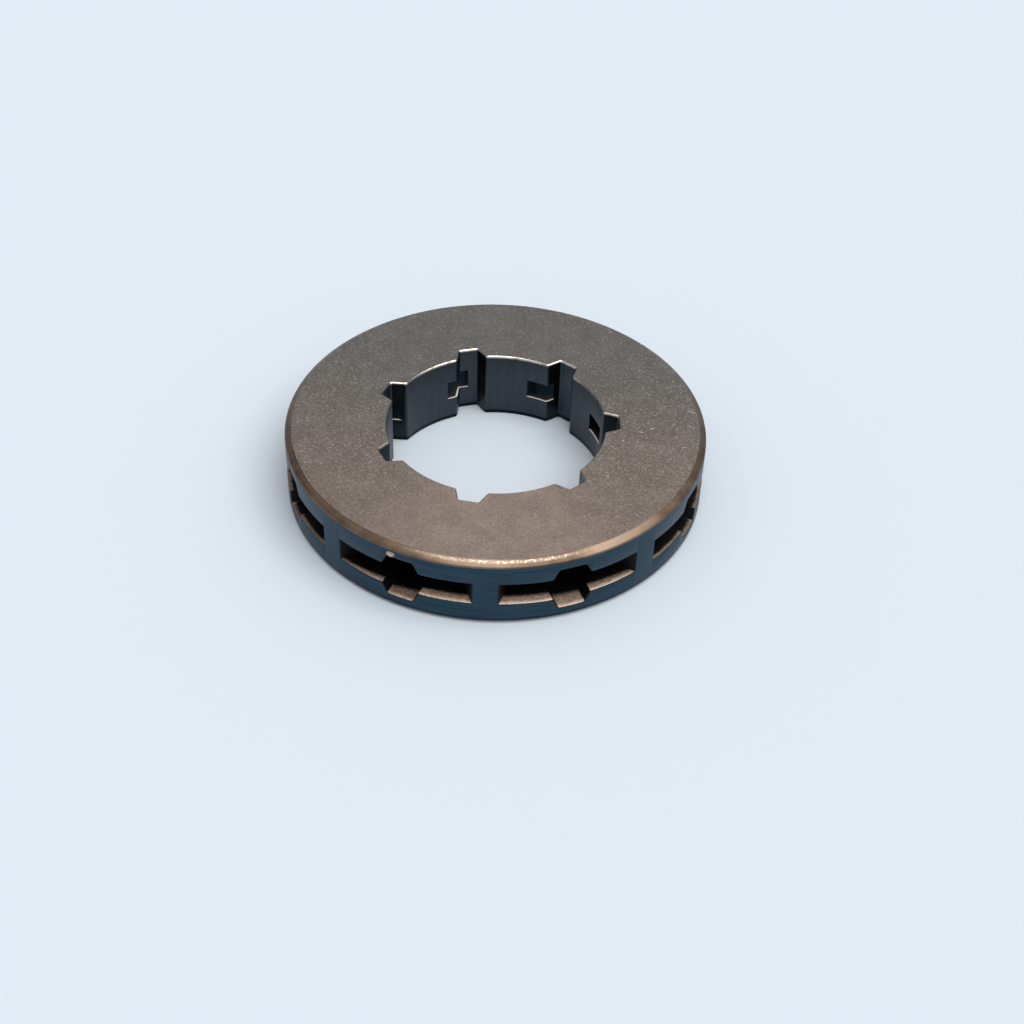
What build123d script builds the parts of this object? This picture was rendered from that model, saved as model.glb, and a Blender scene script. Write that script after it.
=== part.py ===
from build123d import *
from math import asin, cos, degrees, hypot, radians, sin, sqrt, tan
import os

# A floating rim sprocket for a saw chain: one steel ring, lying flat on its lower face.
# Its axis is Z, the lower face is on Z = 0, and one drive-link pocket is centred on +X.
# That pocket lies in line with one notch of the splined bore, so XZ is a plane of symmetry.

# The ring, in millimetres; its rim falls away in a low chamfer, wider than it is tall
rim_diameter = 36.6
thickness = 6.5
rim_chamfer_width = 0.62
rim_chamfer_height = 0.33
rim_corner_break = 0.14
bore_edge_break = 0.12

# The splined bore, which slides on the drum's hub
bore_diameter = 19.05
spline_count = 7
spline_depth = 1.25
spline_mouth_width = 2.7
spline_root_width = 1.72
spline_mouth_round = 0.3
spline_root_round = 0.2

# The drive-link pockets, whose slots leave one narrow tooth between each two
pocket_count = 8
tooth_tip_width = 2.2
flank_angle = 41
slot_height_at_rim = 2.08
slot_height_at_bore = 1.84
clear_out_width = 2.4
flank_round = 0.6
mouth_edge_break = 0.1

# The chip relief, a taller recess in the middle of each pocket
relief_height = 4.1
relief_width_at_slot = 3.28
relief_width_at_floor = 2.26
relief_depth = 5.3
relief_round = 0.25

rim_radius = rim_diameter / 2
bore_radius = bore_diameter / 2
spline_root_radius = bore_radius + spline_depth
spline_middle_radius = bore_radius + spline_depth / 2
spline_mouth_x = sqrt(bore_radius**2 - (spline_mouth_width / 2) ** 2)
shoulder_middle_radius = rim_radius - rim_chamfer_width / 2
mid_height = thickness / 2
# How far a cutting shape stands past the face that it cuts
overrun = 1.0
rim_reach = rim_radius + overrun
bore_reach = bore_radius - overrun

# The pocket's mouth ends where the flank meets the rim, half a tooth short of the half pitch
mouth_half_angle = 180 / pocket_count - degrees(asin(tooth_tip_width / 2 / rim_radius))
mouth_x = rim_radius * cos(radians(mouth_half_angle))
mouth_y = rim_radius * sin(radians(mouth_half_angle))
flank_slope = tan(radians(flank_angle))
throat_x = mouth_x - (mouth_y - clear_out_width / 2) / flank_slope
reach_y = mouth_y + (rim_reach - mouth_x) * flank_slope

# The relief's sides slope outwards from its floor past the slot's edge, to meet inside the slot
relief_slope = (relief_width_at_slot - relief_width_at_floor) / (relief_height - slot_height_at_rim)
relief_waist = (relief_width_at_floor + relief_slope * relief_height) / 2


def slot_half_height(radius):
    """Half the slot's height at a distance from the axis; the slot narrows towards the bore."""
    taper = (slot_height_at_rim - slot_height_at_bore) / (rim_radius - bore_radius)
    return (slot_height_at_bore + taper * (radius - bore_radius)) / 2


# The cross-section of the bore: a circle with trapezoid notches
with BuildSketch() as bore_outline:
    Circle(bore_radius)
    with PolarLocations(0, spline_count):
        Polygon(
            (0, 0),
            (spline_mouth_x, spline_mouth_width / 2),
            (spline_root_radius, spline_root_width / 2),
            (spline_root_radius, -spline_root_width / 2),
            (spline_mouth_x, -spline_mouth_width / 2),
            align=None,
        )
    corners = bore_outline.vertices()
    root_corners = corners.filter_by(lambda corner: corner.center().length > spline_middle_radius)
    fillet(root_corners, spline_root_round)
    corners = bore_outline.vertices()
    mouth_corners = corners.filter_by(lambda corner: corner.center().length < spline_middle_radius)
    fillet(mouth_corners, spline_mouth_round)

# The shape of one pocket, as a solid: the slot with its flanks, throat and clear-out window
with BuildPart() as pocket_core:
    with BuildSketch(Plane.XY.offset(mid_height)):
        with BuildLine():
            Polyline(
                (bore_reach, clear_out_width / 2),
                (throat_x, clear_out_width / 2),
                (rim_reach, reach_y),
                (rim_reach, -reach_y),
                (throat_x, -clear_out_width / 2),
                (bore_reach, -clear_out_width / 2),
                close=True,
            )
        make_face()
    extrude(amount=mid_height, both=True)
    fillet(pocket_core.edges().filter_by(Axis.Z).filter_by_position(Axis.X, throat_x, throat_x), flank_round)
    with BuildSketch(Plane.XZ):
        with BuildLine():
            Polyline(
                (bore_reach, mid_height + slot_half_height(bore_reach)),
                (rim_reach, mid_height + slot_half_height(rim_reach)),
                (rim_reach, mid_height - slot_half_height(rim_reach)),
                (bore_reach, mid_height - slot_half_height(bore_reach)),
                close=True,
            )
        make_face()
    extrude(amount=reach_y, both=True, mode=Mode.INTERSECT)
    with BuildSketch(Plane.YZ.offset(rim_radius - relief_depth)) as relief_section:
        with Locations((0, mid_height)):
            Polygon(
                (relief_width_at_floor / 2, relief_height / 2),
                (relief_waist, 0),
                (relief_width_at_floor / 2, -relief_height / 2),
                (-relief_width_at_floor / 2, -relief_height / 2),
                (-relief_waist, 0),
                (-relief_width_at_floor / 2, relief_height / 2),
                align=None,
            )
        by_height = relief_section.vertices().group_by(Axis.Z)
        fillet(by_height[0] + by_height[-1], relief_round)
    extrude(amount=relief_depth + overrun)

with BuildPart() as rim_sprocket:
    # The section starts halfway between two pockets, so that no pocket cuts the rim's seam
    with BuildSketch(Plane.XZ.rotated((0, 0, 180 / pocket_count))) as disc_section:
        with BuildLine():
            Polyline(
                (0, 0),
                (rim_radius - rim_chamfer_width, 0),
                (rim_radius, rim_chamfer_height),
                (rim_radius, thickness - rim_chamfer_height),
                (rim_radius - rim_chamfer_width, thickness),
                (0, thickness),
                close=True,
            )
        make_face()
        # Where the chamfer meets the rim its corner is worn off, and where it meets the flat face it is crisp
        corners = disc_section.vertices()
        rim_corners = corners.filter_by(lambda corner: hypot(corner.X, corner.Y) > shoulder_middle_radius)
        chamfer(rim_corners, rim_corner_break)
    revolve(axis=Axis.Z)
    with BuildSketch():
        add(bore_outline.sketch)
    extrude(amount=thickness, mode=Mode.SUBTRACT)
    bore_edges = [
        edge
        for face in (rim_sprocket.faces().sort_by(Axis.Z)[0], rim_sprocket.faces().sort_by(Axis.Z)[-1])
        for wire in face.inner_wires()
        for edge in wire.edges()
    ]
    chamfer(bore_edges, bore_edge_break)
    with PolarLocations(0, pocket_count):
        add(pocket_core.part, mode=Mode.SUBTRACT)
    rim_face = rim_sprocket.faces().filter_by(GeomType.CYLINDER).sort_by(SortBy.AREA)[-1]
    mouth_edges = [edge for wire in rim_face.inner_wires() for edge in wire.edges()]
    chamfer(mouth_edges, mouth_edge_break)

rim_sprocket.part.label = "rim_sprocket"
os.makedirs("parts", exist_ok=True)
export_step(rim_sprocket.part, "parts/rim_sprocket.step")
print("solids", len(rim_sprocket.part.solids()), "volume", rim_sprocket.part.volume)
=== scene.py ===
# %% [markdown]
# # A rim sprocket, dressed for its portrait
#
# The object is the drive ring of a chain saw: one steel casting, flat on both sides, with a
# splined bore and a row of pockets round the rim that take the chain's drive links. The solid
# model gives its true size and place. This notebook turns the same ring again as a fine mesh,
# so that its edges can be worn, and gives each surface the finish that its last tool left on it.
#
# We begin by loading the solid model. It is the frame that everything else has to fit.

# %% Load the frame
import math

import bmesh
import bpy
from mathutils import Matrix, Quaternion, Vector


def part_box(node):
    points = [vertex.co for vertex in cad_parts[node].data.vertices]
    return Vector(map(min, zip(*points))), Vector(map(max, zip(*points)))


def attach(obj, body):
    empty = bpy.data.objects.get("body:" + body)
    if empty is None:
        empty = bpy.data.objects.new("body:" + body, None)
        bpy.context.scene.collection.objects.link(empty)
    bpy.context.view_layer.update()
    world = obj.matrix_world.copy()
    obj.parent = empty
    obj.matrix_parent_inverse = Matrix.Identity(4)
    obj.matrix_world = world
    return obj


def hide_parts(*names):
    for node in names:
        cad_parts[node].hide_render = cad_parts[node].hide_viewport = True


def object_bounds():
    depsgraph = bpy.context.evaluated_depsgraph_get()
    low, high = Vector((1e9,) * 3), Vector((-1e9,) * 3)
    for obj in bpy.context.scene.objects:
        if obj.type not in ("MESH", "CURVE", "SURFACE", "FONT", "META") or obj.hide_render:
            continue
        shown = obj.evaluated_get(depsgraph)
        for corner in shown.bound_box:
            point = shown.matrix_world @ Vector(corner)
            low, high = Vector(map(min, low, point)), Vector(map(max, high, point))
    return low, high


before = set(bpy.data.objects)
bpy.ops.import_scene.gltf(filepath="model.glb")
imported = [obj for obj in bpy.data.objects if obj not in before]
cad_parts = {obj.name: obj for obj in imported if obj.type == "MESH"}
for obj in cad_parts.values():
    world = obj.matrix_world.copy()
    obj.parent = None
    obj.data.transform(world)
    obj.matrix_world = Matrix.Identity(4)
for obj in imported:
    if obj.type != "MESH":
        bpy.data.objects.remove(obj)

cad_low, cad_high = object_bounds()
cad_sides = [round(1000 * side, 3) for side in cad_high - cad_low]
print("frame:", sorted(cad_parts), "box in mm:", cad_sides)

# %% [markdown]
# ## Sizes
#
# The frame is in metres. A small part is easier to read and safer to cut in millimetres, as on
# its drawing, so the ring is made in millimetres and brought to metres by the last step of its
# making. The ring's radius and thickness come from the frame. The others are the sizes that the
# solid model was drawn with, apart from the chamfers and the bore's broken edge, whose sizes
# were read from the photo again.

# %% The ring's own sizes
MM = 0.001

ring_low, ring_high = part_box("rim_sprocket")
rim_radius = min(ring_high.x - ring_low.x, ring_high.y - ring_low.y) / 2 / MM
lower_face, upper_face = ring_low.z / MM, ring_high.z / MM
middle = (lower_face + upper_face) / 2

chamfer_width = 0.56
chamfer_height = 0.33
chamfer_round = 0.25
print("rim radius:", round(rim_radius, 3), "faces at:", round(lower_face, 3), round(upper_face, 3))

# %% [markdown]
# The bore has seven notches that take the hub's splines. Each notch is a trapezoid, wider at its
# mouth than at its root.

# %% The bore's sizes
bore_radius = 9.525
bore_break = 0.14
spline_count = 7
spline_depth = 1.25
spline_mouth_width = 2.7
spline_root_width = 1.72
spline_mouth_round = 0.3
spline_root_round = 0.2
print("bore:", 2 * bore_radius, "mm across,", spline_count, "notches")

# %% [markdown]
# A pocket is a low slot with slanted flanks, which narrows to a throat. A taller chip relief
# stands in the middle of it. The eight teeth are what is left between the slots.

# %% The pockets' sizes
pocket_count = 8
tooth_tip_width = 2.2
flank_angle = math.radians(41)
slot_height_at_rim = 2.08
slot_height_at_bore = 1.84
throat_width = 2.4
throat_round = 0.6
mouth_break = 0.1

relief_height = 4.1
relief_width_at_slot = 3.28
relief_width_at_floor = 2.26
relief_depth = 5.3
relief_round = 0.25
print("pockets:", pocket_count, "with slots", slot_height_at_rim, "mm high at the rim")

# %% [markdown]
# ## Outlines with rounded corners
#
# Cast and broached steel has no perfectly sharp corner in plan. One small function walks round
# an outline and puts an arc at each corner. It takes a corner as a point and a radius, so that
# straight runs and rounds are described together, as on a drawing.

# %% Round the corners of an outline
ARC_STEPS = 6


def rounded(corners, closed=True):
    """The points of an outline whose corners are (point, radius) pairs."""
    points = []
    for index, (corner, radius) in enumerate(corners):
        is_end = index in (0, len(corners) - 1)
        if radius == 0 or (is_end and not closed):
            points.append(corner)
            continue
        before = (corners[index - 1][0] - corner).normalized()
        after = (corners[(index + 1) % len(corners)][0] - corner).normalized()
        half_turn = before.angle(after) / 2
        centre = corner + (before + after).normalized() * radius / math.sin(half_turn)
        start = (corner + before * radius / math.tan(half_turn) - centre).normalized()
        end = (corner + after * radius / math.tan(half_turn) - centre).normalized()
        for step in range(ARC_STEPS + 1):
            points.append(centre + start.slerp(end, step / ARC_STEPS) * radius)
    return points


print("points in a rounded corner:", ARC_STEPS + 1)

# %% [markdown]
# ## Skins through rings of points
#
# Every cutter is the same kind of thing: rings of points, one after the other, with a skin
# stretched between them and a lid on each end. A single function makes all of them. A cut
# surface shows the steel as that tool left it, so each cutter carries the number of its steel on
# its faces, and hands it on to the ring.

# %% The steels, and how a mesh is marked with one
STEELS = ["face_steel", "rim_steel", "bore_steel", "pocket_steel", "bare_steel"]
steels = {name: bpy.data.materials.new(name) for name in STEELS}


def marked(mesh, steel_name):
    """Writes the number of a steel on every face of a mesh."""
    numbers = mesh.attributes.new("steel", "INT", "FACE")
    for entry in numbers.data:
        entry.value = STEELS.index(steel_name)


print("steels:", ", ".join(STEELS))

# %% [markdown]
# The skin's quads may come out facing either way, which depends on the order of the rings. So
# the normals are recalculated once the mesh is closed.

# %% A skin through rings of points
def skin(name, rings, steel_name):
    """A closed mesh object through rings that all have as many points."""
    count = len(rings[0])
    last = (len(rings) - 1) * count
    vertices = [point for ring in rings for point in ring]
    faces = []
    for row in range(len(rings) - 1):
        for column in range(count):
            here, there = row * count + column, row * count + (column + 1) % count
            faces.append((here, there, there + count, here + count))
    faces += [tuple(reversed(range(count))), tuple(range(last, last + count))]
    mesh = bpy.data.meshes.new(name)
    mesh.from_pydata(vertices, [], faces)
    facing_out = bmesh.new()
    facing_out.from_mesh(mesh)
    bmesh.ops.recalc_face_normals(facing_out, faces=facing_out.faces)
    facing_out.to_mesh(mesh)
    facing_out.free()
    marked(mesh, steel_name)
    print(name + ":", len(mesh.polygons), "faces")
    return bpy.data.objects.new(name, mesh)


# %% [markdown]
# ## The turned blank
#
# On the real ring the outside is turned: its shape is one section, taken once round the axis.
# That is a rule, so Geometry Nodes can make it from a grid. One direction of the grid is the way
# round, and the other is the way along the section. A modelled ring could also be spun by hand,
# but the rule lets the flaws be added to it. The chamfers were turned a little off the ring's
# centre, so they are wide on one side and narrow on the other, and the crisp shoulder beside
# each flat face wanders, as a handled edge does.
#
# The section runs from a core, which the bore removes later, along the upper face, down the rim
# and back. One more point on each face, a little inside the shoulder, keeps the shoulder's
# wander away from the rest of the face.

# %% The section of the blank
SHOULDER_MARGIN = 1.2
SAME_PLACE = 0.001
core_radius = 8.0
shoulder_radius = rim_radius - chamfer_width


def section_corners(face_height, side):
    """The corners from the core to the rim at one face; side is 1 at the top and -1 below."""
    rim_height = face_height - side * chamfer_height
    return [
        (Vector((core_radius, 0, face_height)), 0),
        (Vector((shoulder_radius - SHOULDER_MARGIN, 0, face_height)), 0),
        (Vector((shoulder_radius, 0, face_height)), 0),
        (Vector((rim_radius, 0, rim_height)), chamfer_round),
    ]


section = rounded(section_corners(upper_face, 1) + section_corners(lower_face, -1)[::-1])
section_mesh = bpy.data.meshes.new("ring_section")
section_mesh.from_pydata(section, [], [])
shoulder_marks = section_mesh.attributes.new("is_shoulder", "FLOAT", "POINT")
for point, entry in zip(section, shoulder_marks.data):
    entry.value = abs(point.x - shoulder_radius) < SAME_PLACE
section_object = bpy.data.objects.new("ring_section", section_mesh)
print("points in the section:", len(section))

# %% [markdown]
# ## The bore's cutter
#
# The bore is broached: one tool with seven teeth is pulled straight through. Its outline is an
# arc of the bore's circle, then a notch with rounded corners, seven times.

# %% The bore's outline
LAND_STEPS = 18


def turned(point, angle):
    """A point turned about the ring's axis."""
    return Matrix.Rotation(angle, 3, "Z") @ point


def bore_outline():
    """The splined outline, once round."""
    mouth_angle = math.asin(spline_mouth_width / 2 / bore_radius)
    root = Vector((bore_radius + spline_depth, spline_root_width / 2, 0))
    mouth = turned(Vector((bore_radius, 0, 0)), mouth_angle)
    corners = [
        (Vector((mouth.x, -mouth.y, 0)), spline_mouth_round),
        (Vector((root.x, -root.y, 0)), spline_root_round),
        (root, spline_root_round),
        (mouth, spline_mouth_round),
    ]
    pitch = 2 * math.pi / spline_count
    land = pitch - 2 * mouth_angle
    for step in range(1, LAND_STEPS):
        angle = mouth_angle + land * step / LAND_STEPS
        corners.append((turned(Vector((bore_radius, 0, 0)), angle), 0))
    once_round = []
    for turn in range(spline_count):
        once_round += [(turned(point, pitch * turn), radius) for point, radius in corners]
    return rounded(once_round)


outline = bore_outline()
print("points in the bore's outline:", len(outline))

# %% [markdown]
# The cutter grows a little near each face, so that the edge which it leaves is broken and not
# knife sharp. Two helpers do that. One moves an outline outwards. The other lists the steps of
# the broken edge: a quarter round, which stops short of lying flat and then runs on in a
# straight line past the face.

# %% A broken edge, and the bore's cutter
EDGE_TURNS = [math.radians(turn) for turn in (0, 22.5, 45, 67.5)]
EDGE_PAST = 0.25


def grown(outline, normal, distance):
    """The outline with each point moved outwards by a distance."""
    moved = []
    for index, point in enumerate(outline):
        before = (point - outline[index - 1]).cross(normal).normalized()
        after = (outline[(index + 1) % len(outline)] - point).cross(normal).normalized()
        outwards = (before + after).normalized()
        moved.append(point + outwards * distance / outwards.dot(after))
    return moved


def broken_edge(size):
    """Steps of a worn edge: (depth below the face, growth) pairs, ending just past the face."""
    steps = [(size * (1 - math.sin(turn)), size * (1 - math.cos(turn))) for turn in EDGE_TURNS]
    last_depth, last_growth = steps[-1]
    slope = math.tan(EDGE_TURNS[-1])
    past = EDGE_PAST * size
    return steps + [(-past, last_growth + past * slope + last_depth * slope)]


stations = [(upper_face - depth, growth) for depth, growth in broken_edge(bore_break)]
stations = [(2 * middle - height, growth) for height, growth in reversed(stations)] + stations
bore_rings = []
for height, growth in stations:
    ring_points = grown(outline, Vector((0, 0, 1)), growth)
    bore_rings.append([Vector((point.x, point.y, height)) for point in ring_points])
bore_cutter = skin("bore_cutter", bore_rings, "bore_steel")

# %% [markdown]
# ## The pocket's cutters
#
# A drive link enters each pocket from the rim. The slot that it runs in is wide at the mouth and
# narrows along slanted flanks to a throat, which breaks through into the bore. Its lips follow
# the rim, so the slot is described by its half angle and half height at each distance from the
# axis.

# %% The slot's half angle and half height
SLOT_COLUMNS = 24
flank_reach = rim_radius - mouth_break
mouth_half_angle = math.pi / pocket_count - math.asin(tooth_tip_width / 2 / rim_radius)
flank_offset = rim_radius * math.sin(flank_angle - mouth_half_angle)


def flank_half_angle(radius):
    """Half the angle that the pocket takes between its flanks, at a distance from the axis."""
    return flank_angle - math.asin(flank_offset / radius)


def slot_half_height(radius):
    """Half the slot's height at a distance from the axis."""
    taper = (slot_height_at_rim - slot_height_at_bore) / (rim_radius - bore_radius)
    return (slot_height_at_bore + taper * (radius - bore_radius)) / 2


def slot_ring(radius, half_angle, half_height):
    """Points on a cylinder about the axis: along the slot's floor and back along its roof."""
    angles = [half_angle * (2 * step / SLOT_COLUMNS - 1) for step in range(SLOT_COLUMNS + 1)]
    height = middle - half_height
    floor = [Vector((radius * math.cos(a), radius * math.sin(a), height)) for a in angles]
    roof = [Vector((point.x, point.y, 2 * middle - point.z)) for point in reversed(floor)]
    return floor + roof


print("the mouth takes", round(math.degrees(2 * mouth_half_angle), 1), "degrees of the rim")

# %% [markdown]
# The flank line runs from inside the bore, along the throat and out to the mouth, and gives one
# ring of points at each of its own points. The mouth's edge is broken like the bore's. The
# outermost lid stands well clear of the rim, because a flat lid cuts across the rim's curve.

# %% The slot's cutter
SLOT_START = 0.3
REACH_PAST = 1.6

mouth_angle = flank_half_angle(flank_reach)
mouth = Vector((math.cos(mouth_angle), math.sin(mouth_angle), 0)) * flank_reach
throat_x = mouth.x - (mouth.y - throat_width / 2) / math.tan(flank_angle)
flank_line = rounded(
    [
        (Vector((core_radius + SLOT_START, throat_width / 2, 0)), 0),
        (Vector((throat_x, throat_width / 2, 0)), throat_round),
        (mouth, 0),
    ],
    closed=False,
)
slot_rings = []
for point in flank_line[:-1]:
    half_angle, half_height = math.atan2(point.y, point.x), slot_half_height(point.length)
    slot_rings.append(slot_ring(point.length, half_angle, half_height))
for depth, growth in broken_edge(mouth_break):
    radius = rim_radius - depth
    half_angle = flank_half_angle(radius) + growth / radius
    half_height = slot_half_height(radius) + growth
    slot_rings.append(slot_ring(radius, half_angle, half_height))
slot_rings.append(slot_ring(rim_radius + REACH_PAST, half_angle, half_height))
slot_cutter = skin("slot_cutter", slot_rings, "pocket_steel")

# %% [markdown]
# The chip relief is a straight prism with sloping sides. Its waist is the widest place, at the
# middle of the ring's height. The rings of points near the rim are curved to it as well, so long
# straight runs of the outline are divided first.

# %% The relief's outline
RELIEF_STEP = 0.4
relief_slope = (relief_width_at_slot - relief_width_at_floor) / (relief_height - slot_height_at_rim)
relief_waist = (relief_width_at_floor + relief_slope * relief_height) / 2


def divided(outline, step):
    """The outline with points added, so that no two neighbours are further apart than a step."""
    points = []
    for start, end in zip(outline, outline[1:] + outline[:1]):
        pieces = max(1, math.ceil((end - start).length / step))
        points += [start.lerp(end, piece / pieces) for piece in range(pieces)]
    return points


across, up = relief_width_at_floor / 2, relief_height / 2
relief_corners = [
    (Vector((0, relief_waist, 0)), 0),
    (Vector((0, across, up)), relief_round),
    (Vector((0, -across, up)), relief_round),
    (Vector((0, -relief_waist, 0)), 0),
    (Vector((0, -across, -up)), relief_round),
    (Vector((0, across, -up)), relief_round),
]
relief_outline = divided(rounded(relief_corners), RELIEF_STEP)
print("points round the relief:", len(relief_outline))

# %% [markdown]
# The relief ends in a flat floor inside the ring. From there its rings go straight out to the
# rim, where its mouth is broken too.

# %% The relief's cutter
def relief_ring(radius, growth):
    """The relief's outline, grown, and laid on a cylinder about the ring's axis."""
    ring = grown(relief_outline, Vector((1, 0, 0)), growth)
    return [Vector((math.sqrt(radius**2 - p.y**2), p.y, middle + p.z)) for p in ring]


inner_end = Vector((rim_radius - relief_depth, 0, middle))
relief_rings = [[point + inner_end for point in relief_outline]]
for depth, growth in broken_edge(mouth_break):
    relief_rings.append(relief_ring(rim_radius - depth, growth))
relief_rings.append(relief_ring(rim_radius + REACH_PAST, growth))
relief_cutter = skin("relief_cutter", relief_rings, "pocket_steel")

# %% [markdown]
# ## The nick's cutter
#
# Something hard has struck the rim's upper edge once, and left a small pit with a torn floor. A
# texture could only darken that place, but a pit catches the light, so it is cut like everything
# else. The cutter is a ball, flattened and made uneven by two crossed waves.

# %% The nick's cutter
NICK_BEARING = math.radians(87.6)
NICK_HEIGHT = 5.61
NICK_SIZE = Vector((0.24, 0.40, 0.29))
NICK_OUT = 0.06
NICK_UNEVEN = 0.16


def nick_shape():
    """A small lump, uneven like the thing that struck the rim, set where it struck."""
    lump = bmesh.new()
    bmesh.ops.create_icosphere(lump, subdivisions=3, radius=1)
    place = turned(Vector((rim_radius + NICK_OUT, 0, 0)), NICK_BEARING)
    place = place + Vector((0, 0, NICK_HEIGHT))
    for vertex in lump.verts:
        x, y, z = vertex.co
        uneven = 1 + NICK_UNEVEN * math.sin(5 * y + 2 * z) * math.cos(4 * z - x)
        vertex.co = turned(vertex.co * uneven * NICK_SIZE, NICK_BEARING) + place
    mesh = bpy.data.meshes.new("nick_cutter")
    lump.to_mesh(mesh)
    lump.free()
    marked(mesh, "bare_steel")
    return bpy.data.objects.new("nick_cutter", mesh)


nick_cutter = nick_shape()
print("faces of the nick's cutter:", len(nick_cutter.data.polygons))

# %% [markdown]
# ## Writing node trees
#
# Two small classes keep the node work readable. They serve the shape of the ring here, and its
# finishes further down. The first is a Value: one output of a node. Python's operators on it add
# Math nodes, so a formula in a tree reads like any other formula.

# %% A value in a node tree
class Value:
    """One output of a node, which can be reckoned with as a number."""

    def __init__(self, tree, socket):
        self.tree = tree
        self.socket = socket

    def output(self, name):
        """Another output of the same node."""
        return Value(self.tree, self.socket.node.outputs[name])

    def to(self, operation, *others):
        """A Math node whose first number is this one."""
        numbers = dict(enumerate((self, *others)))
        return self.tree.add("ShaderNodeMath", {"operation": operation}, numbers)

    def __add__(self, other):
        return self.to("ADD", other)

    def __sub__(self, other):
        return self.to("SUBTRACT", other)

    def __rsub__(self, other):
        return self * -1 + other

    def __mul__(self, other):
        return self.to("MULTIPLY", other)

    def __truediv__(self, other):
        return self.to("DIVIDE", other)

    def __mod__(self, other):
        return self.to("MODULO", other)

    __radd__ = __add__
    __rmul__ = __mul__


# %% [markdown]
# The second class is the Tree. It adds any other node from its type, its settings and the values
# or links of its inputs. Vectors and colours have nodes of their own, because a Math node would
# make one grey number of them.

# %% A node tree
class Tree:
    """A node tree that is written from top to bottom."""

    def __init__(self, tree):
        self.tree = tree

    def add(self, kind, settings={}, inputs={}, output=0):
        """Adds a node: its settings first, then the values or links of its inputs."""
        node = self.tree.nodes.new(kind)
        for name, setting in settings.items():
            setattr(node, name, setting)
        for name, entry in inputs.items():
            if isinstance(entry, Value):
                self.tree.links.new(entry.socket, node.inputs[name])
            else:
                node.inputs[name].default_value = entry
        return Value(self, node.outputs[output])

    def vector(self, operation, *vectors):
        """A Vector Math node that gives a vector."""
        inputs = dict(enumerate(vectors))
        return self.add("ShaderNodeVectorMath", {"operation": operation}, inputs)

    def measure(self, operation, first, second):
        """A Vector Math node that gives a number, such as a dot product."""
        settings, inputs = {"operation": operation}, {0: first, 1: second}
        return self.add("ShaderNodeVectorMath", settings, inputs, "Value")

    def scaled(self, vector, factor):
        """A vector, or a colour, that is made longer or shorter."""
        inputs = {"Vector": vector, "Scale": factor}
        return self.add("ShaderNodeVectorMath", {"operation": "SCALE"}, inputs)

    def split(self, vector):
        """The first number of a vector; the others are its outputs Y and Z."""
        return self.add("ShaderNodeSeparateXYZ", {}, {"Vector": vector})


# %% [markdown]
# ## Turning and cutting the ring
#
# The tree follows the workshop's order. It turns the blank, sets the slot's and the relief's
# cutters round the axis once for each pocket, cuts them and the bore out one after the other,
# and brings the ring to metres. Its inputs are named, so another ring needs only other numbers.
# The shoulders' wander comes from noise with a fixed seed, so the ring is the same each time.

# %% The tree's inputs
RING_INPUTS = {
    "Section": ("NodeSocketObject", section_object),
    "Bore Cutter": ("NodeSocketObject", bore_cutter),
    "Slot Cutter": ("NodeSocketObject", slot_cutter),
    "Relief Cutter": ("NodeSocketObject", relief_cutter),
    "Nick Cutter": ("NodeSocketObject", nick_cutter),
    "Steps Round": ("NodeSocketInt", 720),
    "Pockets": ("NodeSocketInt", pocket_count),
    "Off Centre": ("NodeSocketFloat", 0.12),
    "Off Centre Bearing": ("NodeSocketFloat", math.radians(114)),
    "Wander": ("NodeSocketFloat", 0.04),
    "Wander Per Millimetre": ("NodeSocketFloat", 0.35),
    "Wander Seed": ("NodeSocketFloat", 3.0),
    "Unit": ("NodeSocketFloat", MM),
}

ring_group = bpy.data.node_groups.new("turned_and_cut_ring", "GeometryNodeTree")
ring_group.interface.new_socket("Geometry", in_out="OUTPUT", socket_type="NodeSocketGeometry")
ring_sockets = {
    name: ring_group.interface.new_socket(name, in_out="INPUT", socket_type=kind)
    for name, (kind, value) in RING_INPUTS.items()
}
ring_tree = Tree(ring_group)
given = {name: ring_tree.add("NodeGroupInput", output=name) for name in RING_INPUTS}
print("inputs of the ring's tree:", ", ".join(given))

# %% [markdown]
# ### Turning the blank
#
# A flat grid becomes the blank. Each column of the grid is one step round, and each row is one
# point of the section. The number of a grid point says which column and row it belongs to. The
# extra row and column lie on the first ones and are merged with them later, which closes the
# skin.

# %% The grid and the section
rows = len(section)
grid_size = {"Vertices X": given["Steps Round"] + 1, "Vertices Y": rows + 1}
grid = ring_tree.add("GeometryNodeMeshGrid", {}, grid_size)
index = ring_tree.add("GeometryNodeInputIndex")
step_round = (index / (rows + 1)).to("FLOOR")
section_row = index % (rows + 1) % rows
turn = step_round * (2 * math.pi) / given["Steps Round"]


def made_from(name):
    """The mesh of an object that is one of the tree's inputs."""
    return ring_tree.add("GeometryNodeObjectInfo", {}, {"Object": given[name]}, "Geometry")


def along_section(kind, value):
    """A value of the section's points, read at the row that a grid point belongs to."""
    return ring_tree.add(
        "GeometryNodeSampleIndex",
        {"data_type": kind, "domain": "POINT"},
        {"Geometry": made_from("Section"), "Value": value, "Index": section_row},
    )


profile = ring_tree.split(along_section("FLOAT_VECTOR", ring_tree.add("GeometryNodeInputPosition")))
profile_height = profile.output("Z")
print("rows of the grid:", rows)

# %% [markdown]
# The flaws are added here. A lathe that holds the ring off its centre cuts the chamfer wide on
# one side and narrow on the other. That is a cosine of the angle. The noise is the wander of a
# handled edge. Both move only the shoulder's points.

# %% The flaws of the shoulder
def on_circle(radius):
    """A point at the step's angle and the section's height, at a distance from the axis."""
    across = {"X": turn.to("COSINE") * radius, "Y": turn.to("SINE") * radius}
    return ring_tree.add("ShaderNodeCombineXYZ", {}, {**across, "Z": profile_height})


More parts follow.
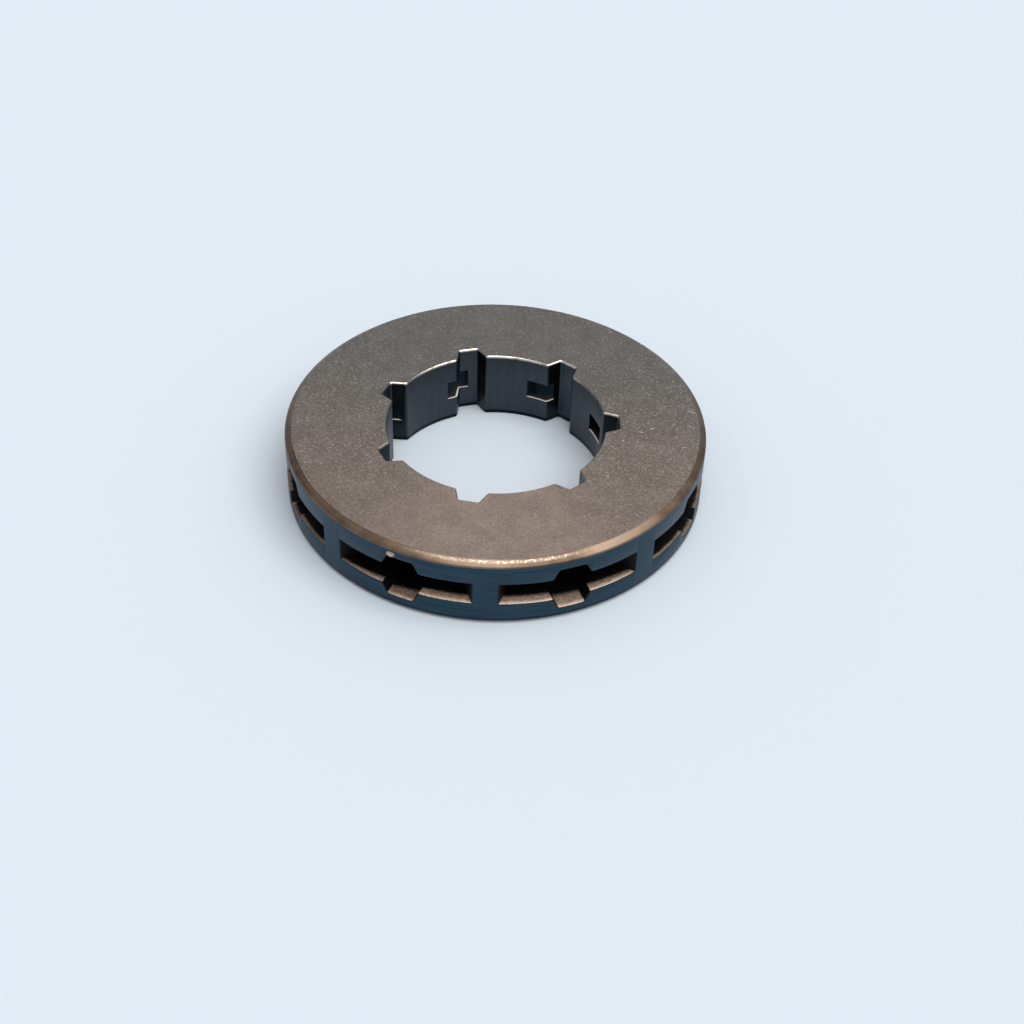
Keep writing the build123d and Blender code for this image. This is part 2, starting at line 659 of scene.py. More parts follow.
wander_noise = ring_tree.add(
    "ShaderNodeTexNoise",
    {"noise_dimensions": "4D"},
    {
        "Vector": on_circle(profile),
        "W": given["Wander Seed"],
        "Scale": given["Wander Per Millimetre"],
        "Detail": 3.0,
    },
)
is_shoulder = ring_tree.add(
    "GeometryNodeInputNamedAttribute", {"data_type": "FLOAT"}, {"Name": "is_shoulder"}
)
wander = (wander_noise * 2 - 1) * given["Wander"]
off_centre = (turn - given["Off Centre Bearing"]).to("COSINE") * given["Off Centre"]
turned_radius = profile + (wander - off_centre) * along_section("FLOAT", is_shoulder)
print("nodes so far:", len(ring_group.nodes))

# %% [markdown]
# Set Position moves each grid point to its radius and height at its step's angle. The blank then
# has its first two steels: the flat faces have one, and what slopes or stands has the other.

# %% Turn the blank, and mark its first two steels
MERGE_DISTANCE = 0.0001
NEARLY_LEVEL = 0.999

turned_grid = {"Geometry": grid, "Position": on_circle(turned_radius)}
blank = ring_tree.add("GeometryNodeSetPosition", {}, turned_grid)
blank = ring_tree.add("GeometryNodeFlipFaces", {}, {"Mesh": blank})
closing = {"Geometry": blank, "Distance": MERGE_DISTANCE}
blank = ring_tree.add("GeometryNodeMergeByDistance", {}, closing)

normal_height = ring_tree.split(ring_tree.add("GeometryNodeInputNormal")).output("Z")
is_flat = normal_height.to("ABSOLUTE").to("GREATER_THAN", NEARLY_LEVEL)
blank = ring_tree.add(
    "GeometryNodeStoreNamedAttribute",
    {"data_type": "INT", "domain": "FACE"},
    {"Geometry": blank, "Name": "steel", "Value": 1 - is_flat},
)
print("steels of the blank:", STEELS[0], "and", STEELS[1])

# %% [markdown]
# ### Cutting
#
# The cutters are set round the axis as instances and made real. Four differences then follow, in
# order. The manifold solver is used, because it is quick and exact on closed shapes, and it keeps
# the steel's number on every face that it cuts.

# %% Set the pockets' cutters round the axis
def joined(geometry):
    """Instances made real."""
    return ring_tree.add("GeometryNodeRealizeInstances", {}, {"Geometry": geometry})


def at_each_pocket(geometry):
    """The geometry once for each pocket, turned about the axis."""
    spots = ring_tree.add("GeometryNodePoints", {}, {"Count": given["Pockets"]})
    bearing = ring_tree.add("GeometryNodeInputIndex") * (2 * math.pi) / given["Pockets"]
    rotation = ring_tree.add("ShaderNodeCombineXYZ", {}, {"Z": bearing})
    inputs = {"Points": spots, "Instance": geometry, "Rotation": rotation}
    return joined(ring_tree.add("GeometryNodeInstanceOnPoints", {}, inputs))


cutters = [
    made_from("Bore Cutter"),
    at_each_pocket(made_from("Slot Cutter")),
    at_each_pocket(made_from("Relief Cutter")),
    made_from("Nick Cutter"),
]
print("cutters:", len(cutters))

# %% [markdown]
# The cut ring is still in millimetres. One Transform by the unit brings it to metres.

# %% Cut
difference = {"operation": "DIFFERENCE", "solver": "MANIFOLD"}
cut = blank
for tool in cutters:
    cut = ring_tree.add("GeometryNodeMeshBoolean", difference, {"Mesh 1": cut, "Mesh 2": tool})
unit = ring_tree.add("ShaderNodeCombineXYZ", {}, {name: given["Unit"] for name in "XYZ"})
cut = ring_tree.add("GeometryNodeTransform", {}, {"Geometry": cut, "Scale": unit})
print("nodes so far:", len(ring_group.nodes))

# %% [markdown]
# ### Giving each face its steel
#
# Each face now carries the number of the tool that made it. Set Material compares that number,
# once for each steel.

# %% Give each face its steel
finished = joined(cut)
steel_number = ring_tree.add(
    "GeometryNodeInputNamedAttribute", {"data_type": "INT"}, {"Name": "steel"}
)
for number, name in enumerate(STEELS):
    is_this = steel_number.to("COMPARE", number, 0.5)
    inputs = {"Geometry": finished, "Selection": is_this, "Material": steels[name]}
    finished = ring_tree.add("GeometryNodeSetMaterial", {}, inputs)
ring_output = ring_group.nodes.new("NodeGroupOutput")
ring_group.links.new(finished.socket, ring_output.inputs["Geometry"])
print("nodes in the ring's tree:", len(ring_group.nodes))

# %% [markdown]
# ## The ring as a plain mesh
#
# The modifier's inputs are set by their identifiers before the ring is first looked at. The
# evaluated ring is then copied to a plain mesh and the modifier goes.

# %% Make the ring
def made_by(group, sockets, inputs, name):
    """What a geometry tree makes, as an object with a plain mesh."""
    maker = bpy.data.objects.new(name + "_maker", bpy.data.meshes.new(name + "_maker"))
    bpy.context.scene.collection.objects.link(maker)
    modifier = maker.modifiers.new(name, "NODES")
    modifier.node_group = group
    for key, (kind, value) in inputs.items():
        modifier[sockets[key].identifier] = value
    bpy.context.view_layer.update()
    evaluated = maker.evaluated_get(bpy.context.evaluated_depsgraph_get())
    mesh = bpy.data.meshes.new_from_object(evaluated)
    maker.modifiers.remove(modifier)
    bpy.data.objects.remove(maker)
    piece = bpy.data.objects.new(name, mesh)
    bpy.context.scene.collection.objects.link(piece)
    return piece


ring = made_by(ring_group, ring_sockets, RING_INPUTS, "worn_rim_sprocket")
for helper in (section_object, bore_cutter, slot_cutter, relief_cutter, nick_cutter):
    bpy.data.objects.remove(helper)
print("faces of the ring:", len(ring.data.polygons))

# %% [markdown]
# Edges stay crisp where a face turns sharply and wherever a flat face ends. Everything else is
# shaded smooth. The same walk over the mesh measures it: a closed ring has no open edge, and its
# volume says whether the cuts were made.

# %% Mark its crisp edges, and measure it
CRISP = math.radians(26)
shaded = bmesh.new()
shaded.from_mesh(ring.data)
face_number = ring.data.materials.find("face_steel")
for face in shaded.faces:
    face.smooth = True
for edge in shaded.edges:
    at_flat = {face.material_index == face_number for face in edge.link_faces}
    edge.smooth = edge.calc_face_angle(0) < CRISP and len(at_flat) == 1
open_edges = sum(not edge.is_manifold for edge in shaded.edges)
triangles = sum(len(face.verts) - 2 for face in shaded.faces)
volume = round(shaded.calc_volume() / MM**3, 1)
print("ring:", triangles, "triangles,", open_edges, "open edges,", volume, "cubic mm")
shaded.to_mesh(ring.data)
shaded.free()

# %% [markdown]
# The ring takes the solid's place in the frame, and rides on the part's one body.

# %% Hand the ring over
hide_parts("rim_sprocket")
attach(ring, "root")
print("handed over:", ring.name)

# %% [markdown]
# ## Finishes
#
# All the finishes are one steel, dark from its heat treatment. What differs is how each surface
# was made and what has rubbed it since, and where light and shade are painted into the colour.
# An image could be painted for that, but here every pattern is worked out from the point's own
# place on the ring in millimetres. So a scratch has its true size, it stays on the steel from
# every side, and it needs no unwrapping.
#
# The first class says where a point lies: how far from the axis, how high, on which side of the
# ring, and which way the surface looks there. A side is named by its bearing, which is counted
# in degrees from the +X pocket.

# %% Where a point of the ring lies
def level_direction(bearing):
    """The level direction at a bearing in degrees."""
    return Vector((math.cos(math.radians(bearing)), math.sin(math.radians(bearing)), 0))


class Surface(Tree):
    """A material's node tree that knows the point's place on the ring, in millimetres."""

    def __init__(self, material):
        material.use_nodes = True
        super().__init__(material.node_tree)
        self.name = material.name
        self.shader = material.node_tree.nodes["Principled BSDF"]
        self.point = self.scaled(self.add("ShaderNodeTexCoord", output="Object"), 1 / MM)
        self.along = self.split(self.point)
        self.across = self.along.output("Y")
        self.height = self.along.output("Z")
        self.radius = (self.along * self.along + self.across * self.across).to("SQRT")
        self.below_face = (upper_face - middle) - (self.height - middle).to("ABSOLUTE")

    def band(self, value, start, end):
        """A smooth rise from 0 at the start to 1 at the end."""
        inputs = {"Value": value, "From Min": start, "From Max": end}
        return self.add("ShaderNodeMapRange", {"interpolation_type": "SMOOTHSTEP"}, inputs)

    def towards(self, bearing, wide, narrow):
        """A smooth rise from 0 to 1 between two angles off a bearing, all in degrees."""
        share = self.measure("DOT_PRODUCT", self.point, level_direction(bearing)) / self.radius
        return self.band(share, math.cos(math.radians(wide)), math.cos(math.radians(narrow)))

    def level(self, vector):
        """The direction of a vector, leaving its height out."""
        return self.vector("NORMALIZE", self.vector("MULTIPLY", vector, (1, 1, 0)))

    def normal(self):
        """The direction that the surface faces."""
        return self.add("ShaderNodeTexCoord", output="Normal")

    def facing(self, direction):
        """How squarely the surface faces a direction: 1 when it does, -1 away from it."""
        return self.measure("DOT_PRODUCT", self.normal(), direction)

    def leaning(self, bearing):
        """How squarely a wall looks towards a bearing in degrees: from -1 to 1."""
        return self.measure("DOT_PRODUCT", self.level(self.normal()), level_direction(bearing))

    def facing_axis(self):
        """How squarely the surface faces the ring's axis or away from it: from 0 to 1."""
        return self.facing(self.level(self.point)).to("ABSOLUTE")


# %% [markdown]
# The second class adds what every finish is built from: the patterns, the mixing of colours, and
# the last step that hands the result to the shader. Noise gives lumps, a Voronoi pattern gives
# specks, and the distance from a line gives a scratch.

# %% Patterns and colours
class Finish(Surface):
    """A steel finish."""

    def noise(self, per_mm, detail=2.0, stretch=(1, 1, 1)):
        """Noise from 0 to 1, with about so many lumps to a millimetre."""
        point = self.vector("MULTIPLY", self.point, stretch)
        inputs = {"Vector": point, "Scale": per_mm, "Detail": detail}
        return self.add("ShaderNodeTexNoise", {}, inputs)

    def specks(self, per_mm, size, share):
        """Small round spots in a share of the cells of a pattern."""
        cells = self.add("ShaderNodeTexVoronoi", {}, {"Vector": self.point, "Scale": per_mm})
        chance = self.split(cells.output("Color"))
        is_speck = self.band(chance, 1 - share, 1 - share * 0.8)
        return self.band(cells, size, size * 0.6) * is_speck

    def stroke(self, start, end, half_width):
        """A short scratch on the upper face between two points of it."""
        start, end = Vector((*start, upper_face)), Vector((*end, upper_face))
        reach = self.vector("SUBTRACT", self.point, start)
        along = self.measure("DOT_PRODUCT", reach, end - start)
        share = (along / (end - start).length_squared).to("MAXIMUM", 0.0).to("MINIMUM", 1.0)
        distance = self.measure("DISTANCE", reach, self.scaled(end - start, share))
        return self.band(distance, half_width, half_width * 0.4)

    def mixed(self, first, second, share):
        """A colour between two."""
        inputs = {"Factor": share, 6: first, 7: second}
        return self.add("ShaderNodeMix", {"data_type": "RGBA"}, inputs, output=2)

    def show(self, colour, roughness, relief, depth, metallic=1.0):
        """Hands the finish to the shader; the relief is a height map, so many mm deep."""
        looks = {"Base Color": colour, "Roughness": roughness, "Metallic": metallic}
        for name, value in looks.items():
            if isinstance(value, Value):
                self.tree.links.new(value.socket, self.shader.inputs[name])
            else:
                self.shader.inputs[name].default_value = value
        bump = self.add("ShaderNodeBump", {}, {"Height": relief, "Distance": depth * MM})
        self.tree.links.new(bump.socket, self.shader.inputs["Normal"])
        print(self.name + ":", len(self.tree.nodes), "nodes")


def steel(red, green, blue):
    """A colour of the steel, as the shader takes it."""
    return (red, green, blue, 1)


# %% [markdown]
# ## The sides where light is painted
#
# Two bearings place the painted light. On the side that faces the camera the flat face is
# painted browner and brighter, and the edges carry painted highlights. Near it the pockets'
# ledges are painted lit, and on the other sides they are painted darker, as in shade. The
# finishes below refer to these bearings.

# %% The sides with painted light
HIGHLIGHT_SIDE = 114
FAR_SIDE = HIGHLIGHT_SIDE + 180
LEDGE_LIGHT_SIDE = 118
# Both bearings place painted light: the sheen and highlights, and the lit ledges.
print("handled at", HIGHLIGHT_SIDE, "degrees, rubbed by the chain at", LEDGE_LIGHT_SIDE)

# %% [markdown]
# ### The flat faces
#
# The flat faces are tumbled and heat treated: a matte brown grey with a fine grain. On the camera
# side they are painted browner and brighter, a painted sheen, and the grain and the rubbed spots
# are fainter there. A few high spots are rubbed bright, and a few short scratches lie on one side.
# They are where the photo shows them, so each has its two ends and its half width, in millimetres.

# %% The scratches
SCRATCHES = [
    ((-11.75, -4.2), (-12.1, -4.25), 0.07),
    ((-12.55, -5.05), (-12.65, -5.15), 0.11),
    ((-10.9, -2.4), (-10.95, -2.5), 0.10),
    ((-15.95, -3.9), (-16.0, -3.95), 0.11),
    ((-14.5, -8.85), (-15.15, -8.85), 0.06),
    ((-15.2, -6.9), (-15.9, -6.75), 0.05),
    ((-11.45, 2.55), (-11.55, 2.45), 0.06),
]
print("scratches:", len(SCRATCHES))

# %% [markdown]
# The grain is one noise that is used three times: its low places are dark, its high places are
# pale, and the relief follows it. How deep it goes depends on the side of the ring.

# %% The flat faces' painted sheen and rubbed spots
GRAIN_PER_MM = 5.8
MOTTLE_PER_MM = 0.5

face = Finish(steels["face_steel"])
grain = face.noise(GRAIN_PER_MM, 3.0)
mottle = face.band(face.noise(MOTTLE_PER_MM, 3.0), 0.3, 0.7)
# Painted sheen: towards the camera side the face is made browner and brighter, most in the middle
# of that side, and its grain and rubbed spots are made fainter there.
sheen = face.towards(HIGHLIGHT_SIDE, 140, 20)
sheen_core = face.towards(HIGHLIGHT_SIDE, 62, 4)
highlight_peak = face.towards(HIGHLIGHT_SIDE, 42, 4)
grain_depth = 0.64 - sheen_core * 0.34 - face.towards(FAR_SIDE, 70, 20) * 0.18

fine_specks = face.specks(3.0, 0.18, 0.06) * 0.6
rubbed = fine_specks.to("MAXIMUM", face.specks(1.3, 0.11, 0.05)) * (0.6 - sheen_core * 0.4)
for start, end, half_width in SCRATCHES:
    rubbed = rubbed.to("MAXIMUM", face.stroke(start, end, half_width) * 0.75)
print("nodes so far:", len(face.tree.nodes))

# %% [markdown]
# The colours are laid over one another like coats: first the tone, with its painted sheen on the
# camera side, then its cloudy mottle, then the grain's dark and pale places, and the rubbed spots
# last.

# %% The flat faces' colours
PLAIN_TONE = steel(0.222, 0.211, 0.196)
SHEEN_TONE = steel(0.326, 0.266, 0.225)
PEAK_HIGHLIGHT_TONE = steel(0.415, 0.326, 0.278)
GRAIN_DARK = steel(0.165, 0.134, 0.117)
GRAIN_PALE = steel(0.66, 0.57, 0.50)
RUBBED_TONE = steel(0.95, 0.88, 0.79)

# Painted sheen: the tone turns browner and brighter towards the camera side.
tone = face.mixed(PLAIN_TONE, SHEEN_TONE, sheen)
tone = face.mixed(tone, PEAK_HIGHLIGHT_TONE, highlight_peak)
tone = face.scaled(tone, 1 + (mottle - 0.5) * 0.16)
tone = face.mixed(tone, GRAIN_DARK, face.band(grain, 0.53, 0.30) * grain_depth)
tone = face.mixed(tone, GRAIN_PALE, face.band(grain, 0.55, 0.74) * grain_depth)
tone = face.mixed(tone, RUBBED_TONE, rubbed)
roughness = 0.5 + (grain - 0.5) * 0.3 - rubbed * 0.2
face.show(tone, roughness, relief=grain, depth=0.007)

# %% [markdown]
# ### The rim and its chamfers
#
# The rim is turned, so fine marks run round it, and it keeps its dark scale because nothing rubs
# there; the scale's blue tint is a painted reflection. The noise is stretched: it is far finer in
# height than along the rim, and that alone makes it look like the marks of a lathe. The foot of
# the rim, at the lower chamfer, is painted nearly black as a painted shadow where it meets the
# paper.

# %% The rim's scale with its painted blue reflection, and its painted foot shadow
ALONG_RIM = (0.3, 0.3, 7.0)
# The scale's blue is a painted reflection; its darkness is the scale's own.
SCALE_REFLECTION_DARK = steel(0.022, 0.048, 0.072)
SCALE_REFLECTION_PALE = steel(0.036, 0.068, 0.096)

rim = Finish(steels["rim_steel"])
turning = rim.noise(1.0, 3.0, stretch=ALONG_RIM)
chamfer_top = lower_face + chamfer_height
is_upper = rim.band(rim.height, middle - 0.5, middle + 0.5)
is_chamfer = rim.band(rim.below_face, chamfer_height + 0.17, chamfer_height + 0.02)
# Painted shadow: the rim's foot, at and just above the lower chamfer, is made nearly black.
rim_foot_shade = rim.band(rim.height, chamfer_top + 0.30, chamfer_top + 0.12)
scale_and_reflection = rim.mixed(SCALE_REFLECTION_DARK, SCALE_REFLECTION_PALE, rim.band(turning, 0.3, 0.7))
print("nodes so far:", len(rim.tree.nodes))

# %% [markdown]
# The upper chamfer has a bronze tint. On the camera side it is painted brighter, a painted
# highlight, with two brighter places and a dimmer place between them.

# %% The chamfer's bronze and its painted highlight
BRONZE_DARK = steel(0.098, 0.066, 0.045)
BRONZE_PALE = steel(0.145, 0.100, 0.071)
BRONZE_HIGHLIGHT = steel(0.27, 0.192, 0.138)

blotch = rim.noise(0.8, 3.0)
# Painted highlight: the bronze is made brighter on the camera side, with two bright places and a
# dimmer one between them.
highlight_lift = rim.towards(HIGHLIGHT_SIDE, 80, 50)
highlight_dip = rim.towards(HIGHLIGHT_SIDE + 17, 12, 4)
first_highlight = rim.towards(HIGHLIGHT_SIDE + 36, 15, 3)
second_highlight = rim.towards(HIGHLIGHT_SIDE - 7, 13, 4) * 0.7
highlight_peak = first_highlight.to("MAXIMUM", second_highlight) * (0.5 + blotch)

bronze = rim.mixed(BRONZE_DARK, BRONZE_PALE, rim.band(blotch, 0.3, 0.7))
bronze = rim.scaled(bronze, 1 + highlight_lift * 0.45 - highlight_dip * 0.5)
bronze = rim.mixed(bronze, BRONZE_HIGHLIGHT, highlight_peak)
print("nodes so far:", len(rim.tree.nodes))

# %% [markdown]
# Just below the crisp shoulder runs a thin worn line, with a painted highlight on it. A finer noise
# breaks it up into painted glints, and the highlight is strong only on the camera side.

# %% The worn line with its painted glints, and the rim's colours
WORN_GLINT_TONE = steel(0.50, 0.395, 0.31)
FOOT_SHADE = steel(0.012, 0.018, 0.026)

worn_line = rim.band(rim.below_face, 0.02, 0.07) * rim.band(rim.below_face, 0.20, 0.11)
# Painted highlight: the worn line is made bright mostly on the camera side, and broken into painted
# glints.
glints = 0.32 + rim.band(rim.noise(4.2, 2.0), 0.44, 0.68) * 0.8
line_highlight_side = 0.12 + rim.towards(HIGHLIGHT_SIDE, 25, 16) * 0.88
worn_glint = worn_line * is_upper * line_highlight_side * glints

# Painted shade: the lower chamfer keeps the dark scale instead of the bronze, as if it lay in the
# ring's shadow on the paper.
tone = rim.mixed(scale_and_reflection, bronze, is_chamfer * is_upper)
tone = rim.mixed(tone, WORN_GLINT_TONE, worn_glint)
# Painted shadow at the rim's foot.
tone = rim.mixed(tone, FOOT_SHADE, rim_foot_shade)
roughness = 0.42 - worn_glint * 0.08 + (turning - 0.5) * 0.1
rim.show(tone, roughness, relief=turning, depth=0.003)

# %% [markdown]
# ### The bore
#
# The broach is pulled straight through, so here the fine marks run up and down. The wall is
# smooth and dark, and the sides of the notches are painted darker as painted shade. Its upper
# edge is worn, and carries a painted highlight that is strongest where the wall looks towards the
# camera side. A painted shadow line lies at the foot.

# %% The bore's worn edge, painted highlight and painted shade
ALONG_BORE = (3.0, 3.0, 0.3)

bore = Finish(steels["bore_steel"])
drawn = bore.noise(1.0, 3.0, stretch=ALONG_BORE)
is_upper = bore.band(bore.height, middle, middle + 1)
at_edge = bore.band(bore.below_face, bore_break + 0.08, bore_break) * is_upper
# Painted shadow: a dark line at the foot of the wall.
bore_foot_shade = bore.band(bore.height, lower_face + 0.48, lower_face + 0.34)
past_land = bore.band(bore.radius, bore_radius, bore_radius + 0.15)
# Painted shade: the sides of the notches are made darker.
notch_side_shade = bore.band(bore.facing_axis(), 0.85, 0.6) * past_land
knocks = 0.45 + bore.band(bore.noise(1.1, 2.0), 0.32, 0.48) * 0.55
# Painted highlight: the worn upper edge is made brightest where the wall looks towards the camera
# side.
edge_highlight_lean = 0.22 + bore.band(bore.leaning(HIGHLIGHT_SIDE), 0.5, 0.92) * 0.78
edge_wear_and_glint = at_edge * (knocks * edge_highlight_lean)
print("nodes so far:", len(bore.tree.nodes))

# %% [markdown]
# The wall's two darks are close together, because only the light should show the broach's marks.

# %% The bore's colours
WALL_DARK = steel(0.047, 0.057, 0.069)
WALL_PALE = steel(0.054, 0.065, 0.078)
EDGE_BRIGHT = steel(0.82, 0.72, 0.62)
WALL_FOOT_SHADE = steel(0.006, 0.012, 0.019)

tone = bore.mixed(WALL_DARK, WALL_PALE, bore.band(drawn, 0.3, 0.7))
# Painted shade on the notches' sides.
tone = bore.scaled(tone, 1 - notch_side_shade * 0.5)
tone = bore.mixed(tone, EDGE_BRIGHT, edge_wear_and_glint)
# Painted shadow at the wall's foot.
tone = bore.mixed(tone, WALL_FOOT_SHADE, bore_foot_shade)
bore.show(tone, 0.38 - edge_wear_and_glint * 0.15, relief=drawn, depth=0.002)

# %% [markdown]
# ### The pockets
#
# Deep in the pockets the steel keeps its black scale. Only the outer part of each lower ledge is a
# coarse bronze, brightest on its lip, where the chain rubs it; the bronze stops where the roof's
# shadow falls, so its inner edge is painted shade as well as wear. The ledges on one side of the
# ring are painted lit, and those on the other sides darker, as painted shade. In the tall relief
# the bronze reaches further in. The sloping walls get no bronze: only surfaces that face up do,
# which is painted light from above as well as wear.

# %% The ledges, rubbed and painted lit
# Partly painted shade: the rubbed bronze ends at these depths, where the roof's shadow falls.
LEDGE_LIT_RUBBED = 1.1
RELIEF_LIT_RUBBED = 1.8
ledge_height = middle - slot_height_at_rim / 2

pocket = Finish(steels["pocket_steel"])
grit = pocket.noise(7.0, 3.0)
patch = pocket.noise(2.0, 2.0) - 0.5
# Partly painted light: only surfaces that face up get the bronze, the bright lip and the sill, as
# light from above picks them out.
faces_up = pocket.band(pocket.facing((0, 0, 1)), 0.55, 0.85)
# Painted light and shade: the ledges on one side of the ring are made lit and those on the other
# sides darker, and the bronze reaches less far on the dark side.
ledge_light = pocket.towards(LEDGE_LIGHT_SIDE, 48, 4) * 0.72 + 0.28
in_relief = pocket.band(pocket.height, ledge_height - 0.1, ledge_height - 0.3)
lit_rubbed_depth = (in_relief * (RELIEF_LIT_RUBBED - LEDGE_LIT_RUBBED) + LEDGE_LIT_RUBBED) * ledge_light
from_rim = (rim_radius - pocket.radius - patch * 0.2) / lit_rubbed_depth
at_rim = pocket.band(from_rim, 1.0, 0.6) * ledge_light
lip = pocket.band(pocket.radius + patch * 0.3, rim_radius - 0.42, rim_radius - 0.16) * ledge_light
print("the ledges lie", round(ledge_height - lower_face, 2), "mm above the lower face")

# %% [markdown]
# Where a pocket breaks through the bore's wall, the hub has rubbed the window's sill to a bright
# line. The line follows the bore's outline, notches included, so it needs the distance from that
# outline. Each point is first turned into the nearest notch, and there the outline is only three
# straight lines.

# %% The windows' sills
SILL_WIDTH = 0.2
notch_pitch = 2 * math.pi / spline_count
side_slope = (spline_mouth_width - spline_root_width) / 2 / spline_depth

bearing = pocket.across.to("ARCTAN2", pocket.along)
off_notch = ((bearing / notch_pitch + 0.5).to("FRACT") - 0.5) * notch_pitch
past_bottom = off_notch.to("COSINE") * pocket.radius - (bore_radius + spline_depth)
off_middle = (off_notch.to("SINE") * pocket.radius).to("ABSOLUTE")
past_side = off_middle + past_bottom * side_slope - spline_root_width / 2
in_notch = past_bottom.to("MAXIMUM", past_side)
from_bore = (pocket.radius - bore_radius).to("MINIMUM", in_notch)
sill = pocket.band(from_bore, SILL_WIDTH, SILL_WIDTH / 2)
# Painted light: the floor just behind the sill is made lighter.
sill_floor_light = pocket.band(from_bore, 0.9, 0.5)
print("a notch stands every", round(math.degrees(notch_pitch), 1), "degrees")

# %% [markdown]
# Bare bronze is painted with less metal than the scale, because a rough, gritty surface sends
# light to all sides and hardly mirrors anything.

# %% The pockets' colours
SOOT_DARK, SOOT_PALE = steel(0.012, 0.012, 0.014), steel(0.022, 0.021, 0.022)
DEEP_REFLECTION = steel(0.035, 0.090, 0.140)
SILL_FLOOR_LIGHT = steel(0.10, 0.09, 0.08)
LEDGE_DARK, LEDGE_PALE = steel(0.25, 0.172, 0.125), steel(0.48, 0.345, 0.255)
LIP_BRIGHT = steel(0.78, 0.60, 0.47)
SILL_BRIGHT = steel(0.95, 0.90, 0.83)

# Painted reflection: deep in the pockets on the far side, the black is tinted slate blue, as blue
# surroundings would be mirrored there.
deep_reflection = pocket.band(pocket.radius, 15.5, 14.0) * pocket.towards(FAR_SIDE, 65, 45)
black = pocket.mixed(SOOT_DARK, SOOT_PALE, grit)
black = pocket.mixed(black, DEEP_REFLECTION, deep_reflection * 0.85)
# Painted light on the up-facing floor behind the sill.
black = pocket.mixed(black, SILL_FLOOR_LIGHT, sill_floor_light * faces_up)
bronze = pocket.mixed(LEDGE_DARK, LEDGE_PALE, pocket.band(grit, 0.35, 0.65))
lip_grit = 0.45 + pocket.band(grit, 0.35, 0.55) * 0.55
tone = pocket.mixed(black, bronze, faces_up * at_rim)
tone = pocket.mixed(tone, LIP_BRIGHT, faces_up * lip * lip_grit)
tone = pocket.mixed(tone, SILL_BRIGHT, faces_up * sill)
bare_metal = faces_up * at_rim.to("MAXIMUM", sill)
roughness = 0.55 + (grit - 0.5) * 0.3
pocket.show(tone, roughness, relief=grit, depth=0.012, metallic=1 - bare_metal * 0.7)

# %% [markdown]
# ### The nick
#
# The blow tore the dark skin off, so the nick shows bare steel, lighter and rougher than
# anything round it.

# %% The bare steel of the nick
TORN_DARK, TORN_PALE = steel(0.30, 0.21, 0.16), steel(0.70, 0.58, 0.48)

bare = Finish(steels["bare_steel"])
torn = bare.noise(5.0, 3.0)
bare.show(bare.mixed(TORN_DARK, TORN_PALE, torn), 0.35 + torn * 0.2, relief=torn, depth=0.01)

# %% [markdown]
# ## The paper
#
# The ring lies on a sheet of pale paper. A flat plane would end in a hard line when it is seen
# from low down, so the sheet curves up far behind the ring on every side, as a backdrop does in
# a studio. It is a set of circles joined by quads. The innermost circle lies on the flat part,
# so that the smooth shading of the curve doesn't bend the light on the floor under the ring.

# %% The paper's section
FLAT_REACH = 0.6
INNER_SHARE = 0.7
CURVE_RADIUS = 1.0
CURVE_TURN = math.radians(60)
CURVE_STEPS = 9

paper_rings = [(FLAT_REACH * INNER_SHARE, 0.0)]
for step in range(CURVE_STEPS + 1):
    bend = CURVE_TURN * step / CURVE_STEPS
    reach = FLAT_REACH + CURVE_RADIUS * math.sin(bend)
    paper_rings.append((reach, CURVE_RADIUS * (1 - math.cos(bend))))
paper_reach, paper_height = paper_rings[-1]
print("the paper reaches", round(paper_reach, 2), "m out and", round(paper_height, 2), "m up")

# %% [markdown]
# The sheet is made in metres, at its own place.

# %% The paper
STEPS_ROUND = 64
PAPER_COLOUR = (0.62, 0.68, 0.74, 1)
PAPER_ROUGHNESS = 0.9

turns = [2 * math.pi * step / STEPS_ROUND for step in range(STEPS_ROUND)]
paper_points = []
for radius, height in paper_rings:
    paper_points += [(radius * math.cos(turn), radius * math.sin(turn), height) for turn in turns]
paper_faces = [tuple(range(STEPS_ROUND))]
for row in range(len(paper_rings) - 1):
    for step in range(STEPS_ROUND):
        here, there = row * STEPS_ROUND + step, row * STEPS_ROUND + (step + 1) % STEPS_ROUND
        paper_faces.append((here, here + STEPS_ROUND, there + STEPS_ROUND, there))
paper_mesh = bpy.data.meshes.new("paper")
paper_mesh.from_pydata(paper_points, [], paper_faces)
paper_mesh.shade_smooth()
paper = bpy.data.objects.new("paper", paper_mesh)
bpy.context.scene.collection.objects.link(paper)

pale_paper = bpy.data.materials.new("pale_paper")
pale_paper.use_nodes = True
paper_shader = pale_paper.node_tree.nodes["Principled BSDF"]
paper_shader.inputs["Base Color"].default_value = PAPER_COLOUR
paper_shader.inputs["Roughness"].default_value = PAPER_ROUGHNESS
paper_mesh.materials.append(pale_paper)
floor_normal = tuple(paper_mesh.polygons[0].normal)
print("paper:", len(paper_faces), "faces; its floor's normal is", floor_normal)

# %% [markdown]
# ## The light
#
# Steel shows what is round it, so the room matters as much as the lamp. The sky is white and
# brightest round the lamp, which gives the flat face and the rim their soft shading. It is as
# bright below as above, where only a view from below the ring meets it.

# %% The sky
KEY_DIRECTION = Vector((-0.359, 0.119, 0.924)).normalized()
SKY_LEVEL = 0.20
SKY_RISE = 0.60
WHITE = (1, 1, 1, 1)

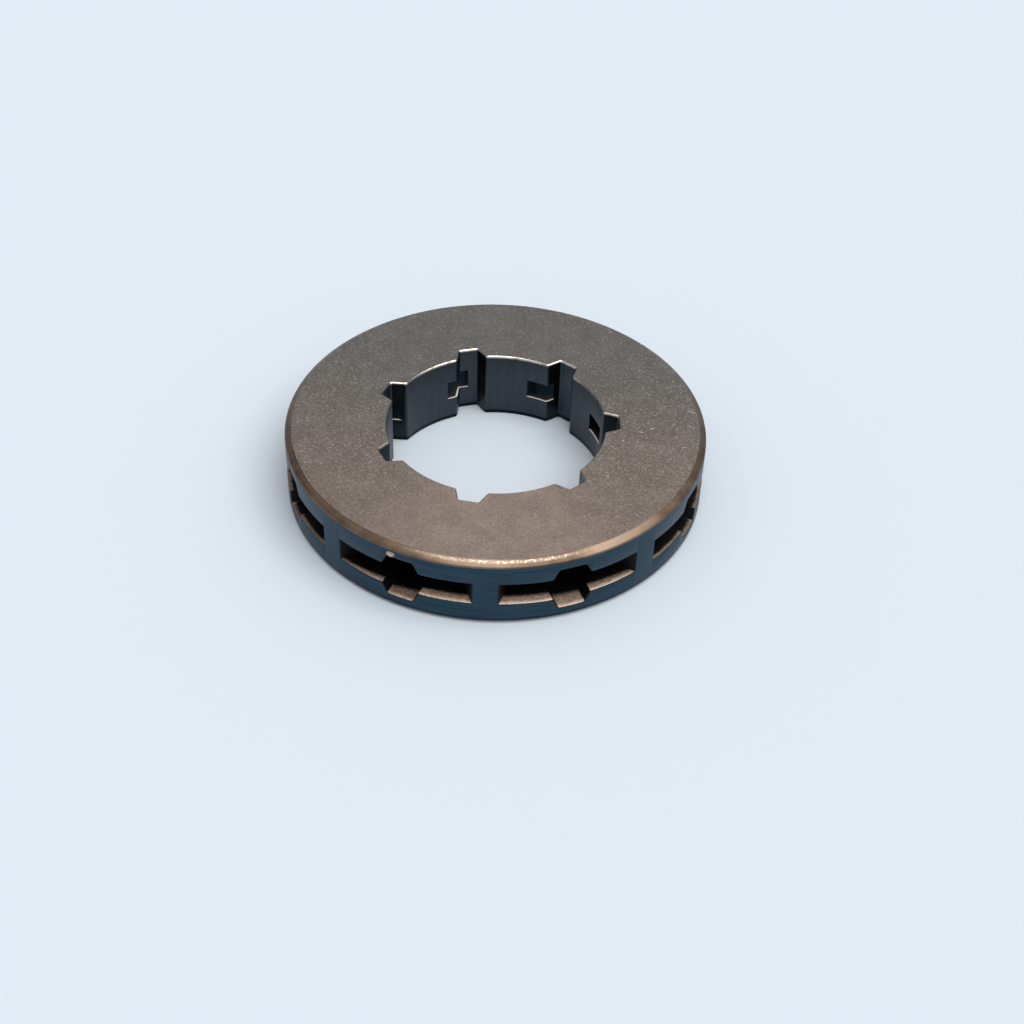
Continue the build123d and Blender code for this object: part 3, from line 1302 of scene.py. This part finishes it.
world = bpy.data.worlds.new("soft_room")
bpy.context.scene.world = world
world.use_nodes = True
room = Tree(world.node_tree)
ray = room.add("ShaderNodeTexCoord", output="Generated")
towards_key = room.measure("DOT_PRODUCT", ray, KEY_DIRECTION)
sky = towards_key.to("ABSOLUTE") * SKY_RISE + SKY_LEVEL
background = world.node_tree.nodes["Background"]
background.inputs["Color"].default_value = WHITE
world.node_tree.links.new(sky.socket, background.inputs["Strength"])
print("the sky goes from", SKY_LEVEL, "to", round(SKY_LEVEL + SKY_RISE, 2))

# %% [markdown]
# The lamp is a sun with a wide disc. It stands for a large soft box, and it lights the whole
# sheet evenly. A lamp shines along its own -Z axis, so its +Z axis is turned to where the light
# comes from.

# %% The key light
KEY_WIDTH = math.radians(58)
KEY_STRENGTH = 2.1

key_light = bpy.data.lights.new("key", "SUN")
key_light.angle = KEY_WIDTH
key_light.energy = KEY_STRENGTH
key = bpy.data.objects.new("key", key_light)
key.rotation_mode = "QUATERNION"
key.rotation_quaternion = KEY_DIRECTION.to_track_quat("Z", "Y")
bpy.context.scene.collection.objects.link(key)
key_height = math.degrees(math.asin(KEY_DIRECTION.z))
print("the key stands", round(key_height), "degrees above the paper")

# %% [markdown]
# ## The camera
#
# The camera stands where the photo's stood. Its place was found from the ring's own circles and
# corners in the photo, so the render can be laid over the photo. A track quaternion turns the
# camera's -Z axis to what it looks at, and the photo's small roll is added about that axis.

# %% The camera
CAMERA_PLACE = Vector((-47.57, 105.86, 98.13)) * MM
CAMERA_AIM = Vector((-6.22, 10.23, 6.5)) * MM
CAMERA_ROLL = math.radians(1.894)
LENS = 59.7
SENSOR_WIDTH = 36
CLIP_START = 0.005

camera_data = bpy.data.cameras.new("camera")
camera_data.lens = LENS
camera_data.sensor_width = SENSOR_WIDTH
camera_data.clip_start = CLIP_START
camera = bpy.data.objects.new("camera", camera_data)
camera.location = CAMERA_PLACE
camera.rotation_mode = "QUATERNION"
look = (CAMERA_AIM - CAMERA_PLACE).to_track_quat("-Z", "Y")
camera.rotation_quaternion = look @ Quaternion((0, 0, 1), CAMERA_ROLL)
bpy.context.scene.collection.objects.link(camera)
bpy.context.scene.camera = camera
bpy.context.scene.view_settings.view_transform = "Standard"
print("the camera is", round((CAMERA_AIM - CAMERA_PLACE).length / MM), "mm from the ring")
